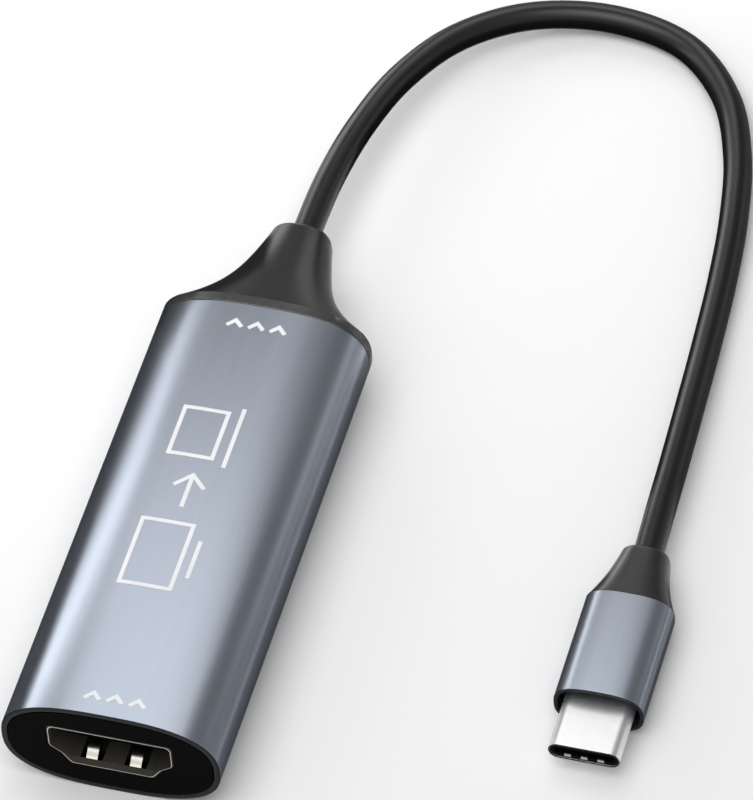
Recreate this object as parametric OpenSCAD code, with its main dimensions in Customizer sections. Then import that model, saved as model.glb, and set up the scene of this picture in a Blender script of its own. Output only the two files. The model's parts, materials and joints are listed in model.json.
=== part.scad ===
// Video capture box: an HDMI socket in an oval aluminium sleeve, with a USB-C plug on a short lead.
// Millimetres. The socket faces -Y, the lead leaves towards +Y, +Z is up.
// The origin is under the middle of the box, on the surface that it rests on.

/* [Housing sleeve] */
// Length of the aluminium sleeve
sleeve_l = 62; // [56:0.5:70]
// Width of the sleeve
sleeve_w = 25.4; // [24:0.1:30]
// Height of the sleeve
sleeve_h = 13.4; // [12.4:0.1:16]
// Wall of the sleeve
sleeve_t = 0.7; // [0.5:0.05:1]
// Squareness of the sleeve's oval across its width, where 2 is an ellipse
oval_wide_power = 2.8; // [2.4:0.1:4]
// Squareness of the sleeve's oval over its height
oval_tall_power = 2.5; // [2.3:0.1:4]

/* [Front bezel] */
// Thickness of the bezel's face
bezel_t = 2; // [1.5:0.1:3]
// Length of the skirt behind the face
skirt_l = 4; // [2:0.5:6]
// Wall of the skirt
skirt_t = 1; // [0.6:0.1:1.2]

/* [Rear cap] */
// Length of the collar that stays outside the sleeve
collar_l = 1.3; // [0.8:0.1:3]
// Length of the flared boot behind the collar
boot_l = 15.6; // [12:0.2:22]
// Width of the boot's neck
neck_w = 7; // [6.6:0.1:9]
// Height of the boot's neck
neck_h = 6.7; // [6.4:0.1:8]
// Rounding of the neck's end
neck_round = 1.2; // [0.6:0.1:1.3]
// Extra width that the boot gains evenly from its neck to its base
boot_taper = 7.8; // [5:0.2:10]
// Sharpness of the flare at the boot's base
boot_flare = 4.2; // [2:0.1:6]
// Length of the spigot inside the sleeve
spigot_l = 5; // [3:0.5:7]
// Wall of the spigot
spigot_t = 1; // [0.6:0.1:1.4]

/* [Board and tray] */
// Thickness of the main board
board_t = 1; // [0.8:0.1:1.6]
// Wall of the tray beside the board
tray_wall = 1; // [0.8:0.1:1.4]
// Thickness of the tray's floor above the sleeve
tray_floor = 0.9; // [0.6:0.1:1.2]
// Height of the tray's side lips above the board
tray_lip = 1; // [0.5:0.1:2]
// Diameter of the tray's two locating posts
post_d = 1; // [0.7:0.1:1.2]

/* [HDMI socket] */
// Width of the socket's opening
hdmi_w = 14; // [13.9:0.05:14.2]
// Height of the socket's opening
hdmi_h = 4.55; // [4.5:0.05:4.8]
// Thickness of the socket's sheet metal
hdmi_t = 0.25; // [0.2:0.05:0.35]
// Length of the socket's shell
hdmi_l = 11; // [10:0.5:13]
// Depth of the flared lip
lip_l = 0.5; // [0.4:0.1:1]
// How far the lip flares to each side
lip_side = 0.08; // [0.05:0.01:0.15]
// How far the lip flares up and down
lip_rise = 0.58; // [0.3:0.02:0.7]
// Depth of the contact tongue's tip behind the mouth
tongue_in = 2.2; // [1.6:0.1:3]
// Width of the contact tongue
tongue_w = 11.4; // [11:0.1:12]
// Thickness of the contact tongue
tongue_t = 1.1; // [0.9:0.1:1.3]
// Length of the insulator's block behind the tongue
block_l = 3.2; // [2.5:0.1:4]
// Width of each spring finger
finger_w = 1.3; // [1:0.1:1.8]
// Distance between the two fingers of a wall
finger_pitch = 5.1; // [4:0.1:6]

/* [Lead] */
// Diameter of the lead
cable_d = 3.5; // [3:0.1:3.9]
// Diameter of each conductor
wire_d = 0.4; // [0.3:0.05:0.45]
// Length of the ferrules on the jacket
crimp_l = 3; // [2:0.1:3.6]
// Wall of the ferrules
crimp_t = 0.4; // [0.3:0.05:0.5]

/* [Plug body] */
// Length of the plug's aluminium sleeve
plug_l = 14.7; // [13.5:0.1:18]
// Width of the plug
plug_w = 10.4; // [10.2:0.1:12]
// Height of the plug
plug_h = 6.4; // [6.2:0.1:7]
// Squareness of the plug's oval, where 2 is an ellipse
plug_power = 2.8; // [2.6:0.1:4]
// Wall of the plug's sleeve
plug_t = 0.45; // [0.35:0.05:0.5]
// Depth of the dark recess round the USB-C shell
plug_recess = 1.2; // [0.6:0.1:2]
// Thickness of the inner moulding's face
core_face_t = 1.6; // [1:0.1:2]
// Length of the plug's boot
plug_boot_l = 7.8; // [6:0.1:12]
// Width of the boot's neck
plug_neck_w = 5.6; // [5.4:0.1:7]
// Height of the boot's neck
plug_neck_h = 5.4; // [5.3:0.1:6]
// Rounding of the neck's end
plug_neck_round = 0.7; // [0.3:0.1:0.7]
// Extra width that the plug's boot gains evenly from its neck to its base
plug_boot_taper = 2.8; // [1.5:0.1:4]
// Sharpness of the flare at the base of the plug's boot
plug_boot_flare = 2.6; // [1.5:0.1:5]
// Length of the boot's spigot inside the plug's sleeve
plug_spigot_l = 3; // [2:0.1:3.6]

/* [USB-C connector] */
// Width of the USB-C shell
usb_w = 8.25; // [8.2:0.01:8.3]
// Height of the USB-C shell
usb_h = 2.4; // [2.35:0.01:2.45]
// Thickness of the USB-C shell
usb_t = 0.22; // [0.15:0.01:0.28]
// Length of the shell outside the plug
usb_out = 6.65; // [6.2:0.05:7]
// Length of the whole shell
usb_l = 11.6; // [11:0.1:12.5]
// Width of the slot that takes a socket's tongue
usb_slot_w = 6.8; // [6.7:0.05:6.9]
// Height of the slot between the contact rows' backs
usb_slot_h = 0.84; // [0.8:0.02:0.9]
// Thickness of the plug's paddle card
card_t = 0.6; // [0.5:0.05:0.65]
// Length of the plug's paddle card
card_l = 5.6; // [5:0.1:6]

/* [Hidden] */

// Clearance between pieces that slide together
fit = 0.1;
// Clearance between stamped or moulded pieces of a connector
snug = 0.03;
// Overshoot of a cut past the face that it opens
over = 0.5;

// Facets round an oval, round a lead and round a conductor
oval_points = 72;
cable_sides = 8;
wire_sides = 6;
// Stretches of the lead between two points of its route
cable_steps = 3;
// Stations along a boot's flare and round its neck's end
flare_steps = 12;
round_steps = 4;
// Steps round each corner of an outline, and of the socket's outline
corner_steps = 4;
socket_steps = 2;

// Colours
anodised = [0.53, 0.57, 0.63];
black = [0.07, 0.07, 0.075];
dark_rubber = [0.16, 0.16, 0.165];
steel = [0.78, 0.78, 0.77];
gold = [0.83, 0.68, 0.32];
board_mask = [0.1, 0.11, 0.11];

// Places along the box
mid_z = sleeve_h / 2;
front_y = -(sleeve_l + collar_l + boot_l) / 2;
collar_y = front_y + sleeve_l;
exit_y = collar_y + collar_l + boot_l;
bore_w = sleeve_w - 2 * sleeve_t;
bore_h = sleeve_h - 2 * sleeve_t;
skirt_end = front_y + bezel_t + skirt_l;
spigot_start = collar_y - spigot_l;

// The board hangs under the socket, and is as wide as the tray lets it be
board_top = mid_z - hdmi_h / 2 - hdmi_t;
board_bottom = board_top - board_t;
board_front = front_y + bezel_t + fit;
board_back = spigot_start - fit;
board_half = bore_half_width(2 * fit, board_bottom) - tray_wall - fit;
tab_half = bore_half_width(2 * (fit + skirt_t), board_bottom) - fit;

// Sizes inside the tray
tray_floor_z = sleeve_t + fit + tray_floor;
tray_top = board_top + tray_lip;
pocket_half = bore_half_width(2 * fit, tray_floor_z) - tray_wall;
post_x = (pocket_half + board_half) / 2;
post_y = [skirt_end + 12, spigot_start - 12];

// The socket's outline: where its straight side ends, its shoulder and its foot
side_drop = 2.7;
shoulder_in = 1.4;
shoulder_drop = 1;
foot_in = 2.45;
hdmi_round = 0.45;
hdmi_back = front_y + hdmi_l;
block_y = hdmi_back - block_l;

// The socket's spring fingers: a window in the wall, and a strip of the wall that rises through it
window_l = 3.4;
window_side = 0.65;
finger_rise = 0.5;
finger_dip = 0.15;
finger_tip = 0.15;
finger_crest = [1, 1.6];
finger_root = 0.2;

// The socket's legs, which pass through the board
leg_l = 1.4;
leg_places = [3.4, 8.2];
leg_out = 0.6;

// The socket's contacts
contact_w = 0.28;
contact_t = 0.14;
contact_pitch = 1;
contact_in = 0.6;
contact_tail = 0.35;
contact_foot = 0.8;
upper_count = 10;
lower_count = 9;

// The parts of the board, with places counted in X from the middle and in Y from the socket's contacts
parts_y = hdmi_back + contact_tail + contact_foot;
// The supplies' parts keep to the board's edge
regulator_x = board_half - 3.5;
coil_x = board_half - 4;
chip = [9, 9, 0.9];
chip_at = [-2.5, 12];
dimple_d = 0.8;
dimple_in = 1;
dimple_deep = 0.15;
memory = [3.9, 4.9, 1.4];
memory_at = [-3.5, 22.5];
memory_pitch = 1.27;
regulator = [1.6, 2.9, 1.1];
regulator_y = [8, 12.5];
regulator_pitch = 0.95;
coil_r = 2.1;
coil_h = 1.8;
coil_y = [18, 23];
crystal_base = [3.2, 2.5, 0.5];
crystal_lid = [2.8, 2.1, 0.8];
crystal_at = [-3.5, 18];
capacitor = [0.8, 1.6, 0.8];
capacitor_at = [[-7, 5.5], [-5, 5.5], [-3, 5.5], [-1, 5.5], [regulator_x - 2.5, 6], [regulator_x - 2.5, 9],
                [regulator_x - 2.5, 15], [coil_x - 4, 18.5], [coil_x - 4, 21], [coil_x - 4, 23.5],
                [board_half - 1.7, 3.5], [1.7 - board_half, 3.5]];
resistor = [0.5, 1, 0.35];
resistor_y = 3.2;
resistor_pitch = 1.5;
resistor_count = 8;
surge_array = [2.5, 1, 0.55];
surge_y = 1.4;
surge_pitch = 3.2;
surge_count = 4;

// The gull-wing leads of a package, and its gap to the board
gull_gap = 0.1;
gull_w = 0.4;
gull_t = 0.15;
gull_root = 0.3;
gull_knee = 0.35;
gull_heel = 0.55;
gull_toe = 1;

// The lead's ends and its ferrules
cable_r = cable_d / 2;
bore_r = cable_r + fit / 2;
crimp_r = bore_r + crimp_t;
jacket_y = collar_y - 1;
wire_count = 8;
wire_ring = cable_r - 0.6;
pad_pitch = 1.5;
pad_l = 1.5;

// Places along the plug, counted from the end of its boot and running to its tip
plug_mid = plug_h / 2;
plug_back = -plug_boot_l;
plug_front = plug_back - plug_l;
core_y = plug_front + plug_recess;
plug_spigot_y = plug_back - plug_spigot_l;
usb_tip = plug_front - usb_out;
usb_back = usb_tip + usb_l;
insulator_in = 0.2;
insulator_out = 0.8;
can_t = 0.2;
can_w = usb_w + 2 * (fit + can_t);
can_h = usb_h + 2 * (0.4 + can_t);
can_round = 0.6;
can_front = core_y + core_face_t + fit;
can_back = plug_spigot_y - fit;
card_back = can_back - 1.6;
card_front = card_back - card_l;
card_half = usb_slot_w / 2 - fit;

// The USB-C contacts, ground springs and latch arms
usb_contact_count = 12;
usb_contact_pitch = 0.5;
usb_contact_w = 0.26;
usb_contact_t = (usb_slot_h - card_t) / 2;
usb_contact_in = 1.7;
usb_contact_out = 0.5;
spring_pitch = 1.9;
spring_w = 0.75;
spring_in = 0.6;
spring_l = 0.8;
spring_rise = 0.14;
spring_t = 0.08;
spring_flap = 0.33;
latch_t = 0.2;
latch_h = 0.5;
latch_hook = 0.25;

// The lead's route, counted in X and Y from the end of the box's boot, with heights above the surface
cable_route = [
    [0, 0, mid_z], [0.3, 10, 6.6], [1.6, 20, 6.2], [4.1, 29.6, 5.4], [8.7, 38.4, 4.3], [16.1, 44.8, 3.1],
    [25.6, 47.4, 2.1], [35.2, 45.2, cable_r], [42, 38.1, cable_r], [45.7, 28.8, cable_r],
    [47.6, 18.9, cable_r], [48.6, 9, cable_r], [49.2, -1, 2], [49.7, -11, 2.6], [50.1, -20.9, 3],
    [50.3, -28.2, plug_mid], [50.5, -35.5, plug_mid]];
plug_place = [cable_route[len(cable_route) - 1].x, exit_y + cable_route[len(cable_route) - 1].y, 0];

// An oval of w by h between an ellipse and a rectangle, with a flat on each of its four sides
function oval(w, h, wide_power, tall_power, count = oval_points) =
    let (flat = cos(180 / count))
    [for (i = [0 : count - 1])
        let (t = 360 * (i + 0.5) / count)
        [w / 2 * sign(cos(t)) * pow(abs(cos(t)) / flat, 2 / wide_power),
         h / 2 * sign(sin(t)) * pow(abs(sin(t)) / flat, 2 / tall_power)]];

// Half the sleeve bore's width at height z, with the bore made smaller by less
function bore_half_width(less, z) =
    (bore_w - less) / 2 * pow(1 - pow(abs(z - mid_z) * 2 / (bore_h - less), oval_tall_power), 1 / oval_wide_power);

// A rectangle, as the corners of an outline
function rectangle(w, h) = [[w / 2, h / 2], [-w / 2, h / 2], [-w / 2, -h / 2], [w / 2, -h / 2]];

// An outline with each corner replaced by an arc of radius r
function rounded(points, r, steps = corner_steps) =
    let (n = len(points))
    [for (i = [0 : n - 1])
        let (p = points[i],
             a = unit(points[(i + n - 1) % n] - p),
             b = unit(points[(i + 1) % n] - p),
             half = acos(max(-1, min(1, a * b))) / 2,
             centre = p + unit(a + b) * r / sin(half),
             from = p + a * r / tan(half) - centre,
             to = p + b * r / tan(half) - centre)
        for (k = [0 : steps])
            centre + r * unit(from * (steps - k) + to * k)];

function unit(v) = v / norm(v);

// The outline of a bent strip of thickness t along a path
function strip(path, t) =
    let (n = len(path),
         ahead = [for (i = [0 : n - 2]) let (d = unit(path[i + 1] - path[i])) [-d.y, d.x]],
         side = [for (i = [0 : n - 1])
             let (a = ahead[max(i - 1, 0)], b = ahead[min(i, n - 2)])
             (a + b) / (1 + a * b)])
    concat([for (i = [0 : n - 1]) path[i] + side[i] * t / 2],
           [for (i = [n - 1 : -1 : 0]) path[i] - side[i] * t / 2]);

// A smooth path through points, with the same count of steps between neighbours
function smooth_path(points, steps) =
    let (n = len(points))
    concat(
        [for (i = [0 : n - 2], k = [0 : steps - 1])
            let (a = points[max(i - 1, 0)], b = points[i], c = points[i + 1], d = points[min(i + 2, n - 1)],
                 t = k / steps)
            b + t / 2 * (c - a + t * (2 * a - 5 * b + 4 * c - d + t * (3 * (b - c) + d - a)))],
        [points[n - 1]]);

// The HDMI outline, wide side up, grown to each side and up and down
function hdmi_outline(side, rise) =
    let (x = hdmi_w / 2 + side, top = hdmi_h / 2 + rise, shoulder = hdmi_h / 2 - side_drop)
    rounded([[x, top], [-x, top], [-x, shoulder], [-x + shoulder_in, shoulder - shoulder_drop],
             [-x + foot_in, -top], [x - foot_in, -top], [x - shoulder_in, shoulder - shoulder_drop],
             [x, shoulder]], hdmi_round, socket_steps);

// The sections of a boot as [place along the boot, width, height, wide power, tall power]
function boot_sections(base_w, base_h, wide_power, tall_power, l, end_w, end_h, end_round, taper, flare) =
    let (straight = l - end_round,
         widths = function (left) end_w + taper * left + (base_w - end_w - taper) * pow(left, flare),
         heights = function (left) end_h + (base_h - end_h) * pow(left, 1.2))
    concat(
        [for (i = [0 : flare_steps])
            let (y = straight * pow(i / flare_steps, 1.4), left = 1 - y / l)
            [y, widths(left), heights(left), wide_power, tall_power]],
        [for (k = [1 : round_steps])
            let (a = 90 * k / round_steps, y = straight + end_round * sin(a), cut = 2 * end_round * (1 - cos(a)))
            [y, widths(end_round / l) - cut, heights(end_round / l) - cut, wide_power, tall_power]]);

// Places a flat outline upright, and extrudes it along Y between two places
module along_y(from, to)
    translate([0, to, 0]) rotate([90, 0, 0]) linear_extrude(to - from) children();

// Extrudes an outline drawn in Y and Z across X, centred at x
module across_x(x, w)
    translate([x - w / 2, 0, 0]) rotate([90, 0, 90]) linear_extrude(w) children();

// A block from its centre in X and Y and its lowest height
module block(x, y, z, size)
    translate([x - size.x / 2, y - size.y / 2, z]) cube(size);

module sleeve_oval(less)
    translate([0, mid_z])
        polygon(oval(sleeve_w - less, sleeve_h - less, oval_wide_power, oval_tall_power));

module plug_oval(less)
    translate([0, plug_mid]) polygon(oval(plug_w - less, plug_h - less, plug_power, plug_power));

module usb_stadium(less)
    translate([0, plug_mid])
        polygon(rounded(rectangle(usb_w - less, usb_h - less), (usb_h - less) / 2 - snug));

// A closed skin over rings of points that have the same count
module skin(rings) {
    n = len(rings[0]);
    last = len(rings) - 1;
    points = [for (ring = rings) each ring];
    walls = [for (i = [0 : last - 1]) for (k = [0 : n - 1])
        let (a = i * n + k, b = i * n + (k + 1) % n)
        each [[a, b, a + n], [b, b + n, a + n]]];
    polyhedron(points, concat(walls, [[for (k = [n - 1 : -1 : 0]) k]], [[for (k = [0 : n - 1]) last * n + k]]));
}

// Upright rings on the Y axis lie at y, with outline points in X and Z
function ring_at(outline, y, z) = [for (p = outline) [p.x, y, z + p.y]];

// A round tube along a path that is never upright
module tube(path, r, sides) {
    n = len(path);
    skin([for (i = [0 : n - 1])
        let (t = unit(path[min(i + 1, n - 1)] - path[max(i - 1, 0)]),
             across = unit(cross(t, [0, 0, 1])),
             up = cross(across, t))
        [for (k = [0 : sides - 1])
            let (a = 360 * (k + 0.5) / sides)
            path[i] + r * (cos(a) * across + sin(a) * up)]]);
}

module boot(sections, y, z)
    skin([for (s = sections) ring_at(oval(s[1], s[2], s[3], s[4]), y + s[0], z)]);

module y_cylinder(x, from, to, z, r)
    translate([x, to, z]) rotate([90, 0, 0]) cylinder(h = to - from, r = r, $fn = 48);

// The oval aluminium tube
module housing_sleeve() color(anodised)
    along_y(front_y, collar_y) difference() {
        sleeve_oval(0);
        sleeve_oval(2 * sleeve_t);
    }

// The black face, flush with the sleeve's end, with a skirt inside the sleeve
module front_bezel() color(black) difference() {
    along_y(front_y, skirt_end) sleeve_oval(2 * (sleeve_t + fit));
    along_y(front_y + bezel_t, skirt_end + over) sleeve_oval(2 * (sleeve_t + fit + skirt_t));
    along_y(front_y - over, front_y + bezel_t + over) translate([0, mid_z])
        polygon(hdmi_outline(hdmi_t + lip_side + snug, hdmi_t + lip_rise + snug));
}

// The collar, the flared boot and the spigot, bored for the lead and its ferrule
module rear_cap() color(dark_rubber) difference() {
    union() {
        boot(concat([[0, sleeve_w, sleeve_h, oval_wide_power, oval_tall_power]],
                    [for (s = boot_sections(sleeve_w, sleeve_h, oval_wide_power, oval_tall_power, boot_l,
                                            neck_w, neck_h, neck_round, boot_taper, boot_flare))
                        [s[0] + collar_l, s[1], s[2], s[3], s[4]]]),
             collar_y, mid_z);
        along_y(spigot_start, collar_y + over) sleeve_oval(2 * (sleeve_t + fit));
    }
    along_y(spigot_start - over, collar_y) sleeve_oval(2 * (sleeve_t + fit + spigot_t));
    y_cylinder(0, collar_y - over, exit_y + over, mid_z, bore_r);
    y_cylinder(0, collar_y - over, jacket_y + crimp_l + snug, mid_z, crimp_r + snug);
}

// Holes for the socket's legs, from height z upwards
module leg_holes(z, h)
    for (side = [-1, 1], y = leg_places)
        block(side * (hdmi_w + hdmi_t) / 2, front_y + y, z, [hdmi_t + 2 * fit, leg_l + 2 * fit, h]);

// The moulded tray in the lower half of the sleeve, with ledges and posts for the board
module board_tray() color(black) {
    difference() {
        along_y(skirt_end, spigot_start) intersection() {
            sleeve_oval(2 * (sleeve_t + fit));
            translate([-sleeve_w / 2, 0]) square([sleeve_w, tray_top]);
        }
        block(0, (skirt_end + spigot_start) / 2, board_bottom,
              [2 * (board_half + fit), spigot_start - skirt_end + 2 * over, tray_lip + board_t + over]);
        block(0, (skirt_end + spigot_start) / 2, tray_floor_z,
              [2 * pocket_half, spigot_start - skirt_end + 2 * over, board_bottom - tray_floor_z + over]);
        leg_holes(board_bottom - leg_out - fit, leg_out + fit + over);
    }
    for (x = [-post_x, post_x], y = post_y)
        translate([x, y, board_bottom - fit]) cylinder(h = fit + board_t + tray_lip / 2, d = post_d, $fn = 32);
}

// The circuit board, narrower inside the skirt, with holes for the posts and the socket's legs
module main_board() color(board_mask) difference() {
    translate([0, 0, board_bottom]) linear_extrude(board_t)
        polygon([[-tab_half, board_front], [tab_half, board_front], [tab_half, skirt_end + fit],
                 [board_half, skirt_end + fit], [board_half, board_back], [-board_half, board_back],
                 [-board_half, skirt_end + fit], [-tab_half, skirt_end + fit]]);
    for (x = [-post_x, post_x], y = post_y)
        translate([x, y, board_bottom - over])
            cylinder(h = board_t + 2 * over, d = post_d + fit, $fn = 32);
    leg_holes(board_bottom - over, board_t + 2 * over);
}

// One spring finger of the lower wall, rooted at the window's back
module hdmi_finger(x) {
    wall = -hdmi_h / 2 - hdmi_t / 2;
    front = front_y + lip_l;
    back = front + window_l;
    across_x(x, finger_w) translate([0, mid_z])
        polygon(strip([[back + finger_root, wall], [back - finger_root, wall],
                       [front + finger_crest[1], wall + finger_rise], [front + finger_crest[0], wall + finger_rise],
                       [front + finger_tip, wall - finger_dip]], hdmi_t));
}

module hdmi_window(x)
    block(x, front_y + lip_l + window_l / 2, mid_z - hdmi_h / 2 - 2 * hdmi_t,
          [finger_w + 2 * window_side, window_l, 3 * hdmi_t]);

// Repeats what is in the lower wall in the upper wall
module both_walls() {
    children();
    translate([0, 0, 2 * mid_z]) mirror([0, 0, 1]) children();
}

// The socket's flared outline as a solid, grown by the sheet's thickness and run on at both ends
module socket_skin(grow, longer)
    skin([ring_at(hdmi_outline(grow + lip_side * (1 + longer / lip_l), grow + lip_rise * (1 + longer / lip_l)),
                  front_y - longer, mid_z),
          ring_at(hdmi_outline(grow, grow), front_y + lip_l, mid_z),
          ring_at(hdmi_outline(grow, grow), hdmi_back + longer, mid_z)]);

// The stamped socket shell with its flared lip, spring fingers and legs
module hdmi_shell() color(steel) {
    difference() {
        socket_skin(hdmi_t, 0);
        socket_skin(0, over);
        both_walls() for (side = [-1, 1]) hdmi_window(side * finger_pitch / 2);
    }
    both_walls() for (side = [-1, 1]) hdmi_finger(side * finger_pitch / 2);
    for (side = [-1, 1], y = leg_places)
        block(side * (hdmi_w + hdmi_t) / 2, front_y + y, board_bottom - leg_out,
              [hdmi_t, leg_l, mid_z + hdmi_h / 2 - side_drop / 2 - board_bottom + leg_out]);
}

// The path of a contact from the tongue, through the block and down to the board
function contact_path(z) =
    let (back = hdmi_back + contact_tail)
    [[front_y + tongue_in + contact_in, z], [back, z], [back, board_top + contact_t / 2],
     [back + contact_foot, board_top + contact_t / 2]];

module hdmi_contact_row(count, z, grow)
    for (i = [0 : count - 1])
        across_x((i - (count - 1) / 2) * contact_pitch, contact_w + 2 * grow)
            polygon(strip(contact_path(z), contact_t + 2 * grow));

// The moulded block inside the shell, with the tongue that carries the contacts
module hdmi_insulator() color(black) difference() {
    union() {
        along_y(block_y, hdmi_back + fit) translate([0, mid_z]) polygon(hdmi_outline(-snug, -snug));
        block(0, (front_y + tongue_in + block_y + over) / 2, mid_z - tongue_t / 2,
              [tongue_w, block_y + over - front_y - tongue_in, tongue_t]);
    }
    hdmi_contact_row(upper_count, mid_z + tongue_t / 2, snug);
    hdmi_contact_row(lower_count, mid_z - tongue_t / 2, snug);
}

module hdmi_contacts_upper() color(gold) hdmi_contact_row(upper_count, mid_z + tongue_t / 2, 0);

module hdmi_contacts_lower() color(gold) hdmi_contact_row(lower_count, mid_z - tongue_t / 2, 0);

// A gull-wing lead that leaves a package's side at x and stands on the board
module gull_lead(x, y, side, body_h)
    translate([x, y, board_top]) mirror([side < 0 ? 1 : 0, 0, 0]) translate([0, gull_w / 2, 0])
        rotate([90, 0, 0]) linear_extrude(gull_w)
            polygon(strip([[-gull_root, gull_gap + body_h / 2], [gull_knee, gull_gap + body_h / 2],
                           [gull_heel, gull_t / 2], [gull_toe, gull_t / 2]], gull_t));

// A package with leads on both sides, with its body just off the board
module gull_package(x, y, size, pitch, left_count, right_count) {
    block(x, y, board_top + gull_gap, size);
    for (side = [-1, 1]) {
        count = side < 0 ? left_count : right_count;
        for (i = [0 : count - 1])
            gull_lead(x + side * size.x / 2, y + (i - (count - 1) / 2) * pitch, side, size.z);
    }
}

// The flat capture chip, with the dimple that marks its first contact
module capture_chip() color(black) difference() {
    block(chip_at.x, parts_y + chip_at.y, board_top, chip);
    translate([chip_at.x - chip.x / 2 + dimple_in, parts_y + chip_at.y - chip.y / 2 + dimple_in,
               board_top + chip.z - dimple_deep])
        cylinder(h = dimple_deep + over, d = dimple_d, $fn = 32);
}

module memory_chip() color(black)
    gull_package(memory_at.x, parts_y + memory_at.y, memory, memory_pitch, 4, 4);

module regulators() color(black)
    for (y = regulator_y) gull_package(regulator_x, parts_y + y, regulator, regulator_pitch, 3, 2);

// The shielded coils of the supplies, with their corners cut off
module power_inductors() color([0.3, 0.3, 0.32])
    for (y = coil_y)
        translate([coil_x, parts_y + y, board_top]) linear_extrude(coil_h)
            polygon([for (i = [0 : 7]) let (a = 45 * i + 18) coil_r * [cos(a), sin(a)]]);

// The metal can of the clock, with its lid
module crystal() color(steel) {
    block(crystal_at.x, parts_y + crystal_at.y, board_top, crystal_base);
    block(crystal_at.x, parts_y + crystal_at.y, board_top, crystal_lid);
}

module capacitors() color([0.62, 0.5, 0.36])
    for (place = capacitor_at)
        block(place.x, parts_y + place.y, board_top, capacitor);

module resistors() color([0.12, 0.12, 0.13])
    for (i = [0 : resistor_count - 1])
        block((i - (resistor_count - 1) / 2) * resistor_pitch, parts_y + resistor_y, board_top, resistor);

// The small arrays that guard the socket's signal pairs
module surge_arrays() color(black)
    for (i = [0 : surge_count - 1])
        block((i - (surge_count - 1) / 2) * surge_pitch, parts_y + surge_y, board_top, surge_array);

// The lead's conductors, fanned out from the jacket's end to the board's pads
module cable_wires() color([0.7, 0.2, 0.15])
    for (i = [0 : wire_count - 1]) {
        a = 180 + 180 * (i + 0.5) / wire_count;
        x = wire_ring * cos(a);
        z = mid_z + wire_ring * sin(a);
        pad_x = (i - (wire_count - 1) / 2) * pad_pitch;
        pad_z = board_top + wire_d / 2;
        tube([[x, jacket_y, z], [x, jacket_y - 0.8, z], [pad_x, board_back - fit, pad_z],
              [pad_x, board_back - fit - pad_l, pad_z]], wire_d / 2, wire_sides);
    }

// A ferrule round the jacket, between two places
module ferrule(from, z) color(gold) difference() {
    y_cylinder(0, from, from + crimp_l, z, crimp_r);
    y_cylinder(0, from - over, from + crimp_l + over, z, bore_r);
}

module cable_crimp() ferrule(jacket_y, mid_z);

// The lead, from the ferrule in the box to the ferrule in the plug
module cable() color(dark_rubber)
    tube(concat([[0, jacket_y, mid_z]],
                smooth_path([for (p = cable_route) [p.x, exit_y + p.y, p.z]], cable_steps),
                [[plug_place.x, plug_place.y + plug_spigot_y, plug_mid]]), cable_r, cable_sides);

// Everything on the plug is drawn with the end of its boot at y = 0, and moved to the lead's end
module at_plug() translate(plug_place) children();

module plug_sleeve() color(anodised) at_plug()
    along_y(plug_front, plug_back) difference() {
        plug_oval(0);
        plug_oval(2 * plug_t);
    }

// The black inner moulding: a face round the USB-C shell, and a hollow for the shield
module plug_core() color(black) at_plug() difference() {
    along_y(core_y, plug_spigot_y) plug_oval(2 * (plug_t + snug));
    along_y(core_y - over, core_y + core_face_t + over) usb_stadium(-2 * snug);
    along_y(core_y + core_face_t, plug_spigot_y + over) translate([0, plug_mid])
        polygon(rounded(rectangle(can_w + 2 * snug, can_h + 2 * snug), can_round));
}

module plug_boot() color(dark_rubber) at_plug() difference() {
    union() {
        boot(boot_sections(plug_w, plug_h, plug_power, plug_power, plug_boot_l, plug_neck_w, plug_neck_h,
                           plug_neck_round, plug_boot_taper, plug_boot_flare), plug_back, plug_mid);
        along_y(plug_spigot_y, plug_back + over) plug_oval(2 * (plug_t + snug));
    }
    y_cylinder(0, plug_spigot_y - over, over, plug_mid, bore_r);
    y_cylinder(0, plug_spigot_y - over, plug_spigot_y + crimp_l + snug, plug_mid, crimp_r + snug);
}

// The sheet-metal can round the paddle card
module plug_shield() color(steel) at_plug()
    along_y(can_front, can_back) translate([0, plug_mid]) difference() {
        polygon(rounded(rectangle(can_w, can_h), can_round));
        polygon(rounded(rectangle(can_w - 2 * can_t, can_h - 2 * can_t), can_round - can_t));
    }

module plug_board() color(board_mask) at_plug()
    block(0, (card_front + card_back) / 2, plug_mid - card_t / 2, [2 * card_half, card_l, card_t]);

module plug_chip() color(black) at_plug()
    block(0, usb_back + insulator_out + usb_contact_out + 0.8, plug_mid + card_t / 2, [1.4, 1, 0.4]);

// The conductors in the plug, straight from the jacket's end onto both sides of the card
module plug_wires() color([0.7, 0.2, 0.15]) at_plug()
    for (side = [-1, 1], i = [0 : 3])
        y_cylinder((i - 1.5) * 0.75, card_back - 1.2, plug_spigot_y,
                   plug_mid + side * (card_t + wire_d) / 2, wire_d / 2);

module plug_crimp() at_plug() ferrule(plug_spigot_y, plug_mid);

module usb_shell() color(steel) at_plug()
    along_y(usb_tip, usb_back) difference() {
        usb_stadium(0);
        usb_stadium(2 * usb_t);
    }

// The moulding inside the shell, slotted for a socket's tongue and for the card
module usb_insulator() color(black) at_plug()
    along_y(usb_tip + insulator_in, usb_back + insulator_out) difference() {
        usb_stadium(2 * (usb_t + snug));
        translate([-usb_slot_w / 2, plug_mid - usb_slot_h / 2]) square([usb_slot_w, usb_slot_h]);
    }

// One row of contacts, on the upper or lower side of the slot and of the card
module usb_contact_row(side)
    for (i = [0 : usb_contact_count - 1]) {
        from = usb_tip + usb_contact_in;
        to = usb_back + insulator_out + usb_contact_out;
        block((i - (usb_contact_count - 1) / 2) * usb_contact_pitch, (from + to) / 2,
              plug_mid + (side > 0 ? card_t / 2 : -card_t / 2 - usb_contact_t),
              [usb_contact_w, to - from, usb_contact_t]);
    }

module usb_contacts_upper() color(gold) at_plug() usb_contact_row(1);

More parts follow.
